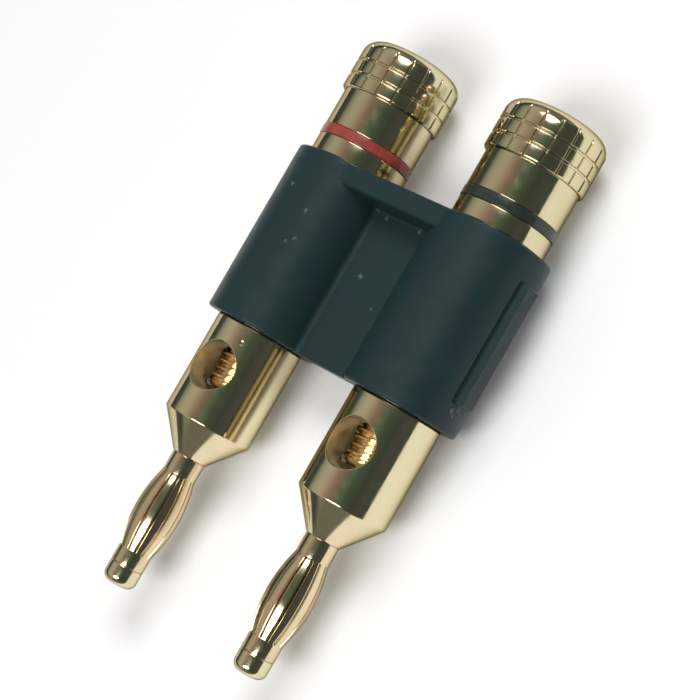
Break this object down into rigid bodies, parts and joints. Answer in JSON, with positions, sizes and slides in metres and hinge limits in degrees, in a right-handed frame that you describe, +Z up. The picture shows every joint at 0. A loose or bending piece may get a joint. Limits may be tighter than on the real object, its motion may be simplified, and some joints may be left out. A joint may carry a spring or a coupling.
{
  "type": "dual banana plug",
  "caption": "Twin banana plug on standard centres: gilt turned plugs with lantern springs, cross holes for bare wire and knurled clamp screws, held in a soft black joiner block.",
  "frame": {"origin": "middle of the box that holds the plug, on the surface that the block's two lobes lie on, midway between the two plugs' axes", "axes": "+X from the red plug to the black one, +Y along the plugs from the tips to the clamp knobs, +Z up from the surface it lies on"},
  "size_m": [0.0321, 0.062, 0.0125],
  "materials": {
    "gilt_brass": "polished gold plate over turned brass",
    "gilt_spring": "polished gold plate over rolled spring sheet",
    "block_rubber": "satin soft moulding",
    "red_ring": "glossy",
    "black_ring": "glossy"
  },
  "bodies": {
    "root": {"joiner_block": "block_rubber", "red_contact_body": "gilt_brass", "red_contact_spring": "gilt_spring", "red_centre_pin": "gilt_brass", "black_contact_body": "gilt_brass", "black_contact_spring": "gilt_spring", "black_centre_pin": "gilt_brass"},
    "red_stud": {"red_clamp_stud": "gilt_brass"},
    "red_knob": {"red_clamp_knob": "gilt_brass", "red_marking_ring": "red_ring"},
    "black_stud": {"black_clamp_stud": "gilt_brass"},
    "black_knob": {"black_clamp_knob": "gilt_brass", "black_marking_ring": "black_ring"}
  },
  "joints": [
    {"name": "red_screw_travel", "type": "slide", "parent": "root", "child": "red_stud", "axis": [0, 1, 0], "range_m": [0, 0.0048]},
    {"name": "red_screw_turn", "type": "hinge", "parent": "red_stud", "child": "red_knob", "pos_m": [-0.00953, 0.021, 0.00625], "axis": [0, 1, 0], "range_deg": [0, 2160]},
    {"name": "black_screw_travel", "type": "slide", "parent": "root", "child": "black_stud", "axis": [0, 1, 0], "range_m": [0, 0.0048]},
    {"name": "black_screw_turn", "type": "hinge", "parent": "black_stud", "child": "black_knob", "pos_m": [0.00953, 0.021, 0.00625], "axis": [0, 1, 0], "range_deg": [0, 2160]}
  ],
  "couplings": [
    {"joint": "red_screw_travel", "follows": "red_screw_turn", "m_per_rad": 0.00012732},
    {"joint": "black_screw_travel", "follows": "black_screw_turn", "m_per_rad": 0.00012732}
  ]
}
